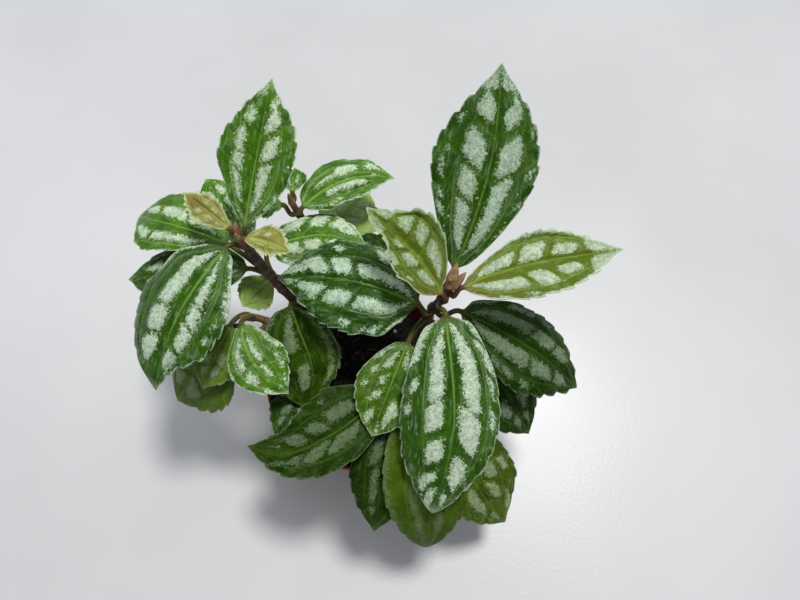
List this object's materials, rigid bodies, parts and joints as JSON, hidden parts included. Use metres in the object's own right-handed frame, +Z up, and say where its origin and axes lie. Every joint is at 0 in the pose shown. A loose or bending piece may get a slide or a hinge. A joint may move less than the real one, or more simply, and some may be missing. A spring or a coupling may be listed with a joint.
{
  "type": "potted houseplant",
  "caption": "Aluminum plant, a small houseplant with quilted green leaves patched in silver, growing in soil in a round tapered nursery pot.",
  "frame": {"origin": "centre of the pot's underside, where it rests", "axes": "+Z up, +Y towards the back of the plant as the picture shows it, +X to its right"},
  "size_m": [0.1789, 0.1488, 0.1427],
  "materials": {
    "leaf_green": "satin green leaf with matt silver patches between sunken veins",
    "leaf_young": "satin olive young leaf with oval silver patches and a pale margin",
    "stem": "matt reddish-brown stem, tan near the soil",
    "soil": "damp dark potting mix with white grains",
    "pot": "satin maroon plastic"
  },
  "bodies": {
    "root": {"leaf_right_crown_back": "leaf_green", "leaf_right_crown_front": "leaf_green", "leaf_right_young_left": "leaf_young", "leaf_right_young_right": "leaf_young", "leaf_right_side": "leaf_green", "leaf_middle_left": "leaf_green", "leaf_right_low_small": "leaf_green", "leaf_right_low_side": "leaf_green", "leaf_front_right": "leaf_green", "leaf_front_middle": "leaf_green", "leaf_front_left": "leaf_green", "leaf_low_left_wide": "leaf_green", "leaf_middle_under": "leaf_green", "leaf_left_crown_back": "leaf_green", "leaf_left_crown_front": "leaf_green", "leaf_left_side": "leaf_green", "leaf_middle_back": "leaf_green", "leaf_left_young_back": "leaf_young", "leaf_left_young_right": "leaf_young", "leaf_left_behind": "leaf_green", "leaf_left_under": "leaf_green", "leaf_middle_hanging": "leaf_green", "leaf_left_small_round": "leaf_green", "leaf_low_front": "leaf_green", "leaf_low_grey": "leaf_green", "leaf_low_left": "leaf_green", "leaf_low_inner": "leaf_green", "leaf_back_right": "leaf_green", "leaf_back_young": "leaf_green", "leaf_back_under": "leaf_green", "leaf_back_left": "leaf_green", "stem_right": "stem", "stem_left": "stem", "stem_low": "stem", "stem_back": "stem", "soil": "soil", "pot": "pot"}
  },
  "joints": []
}
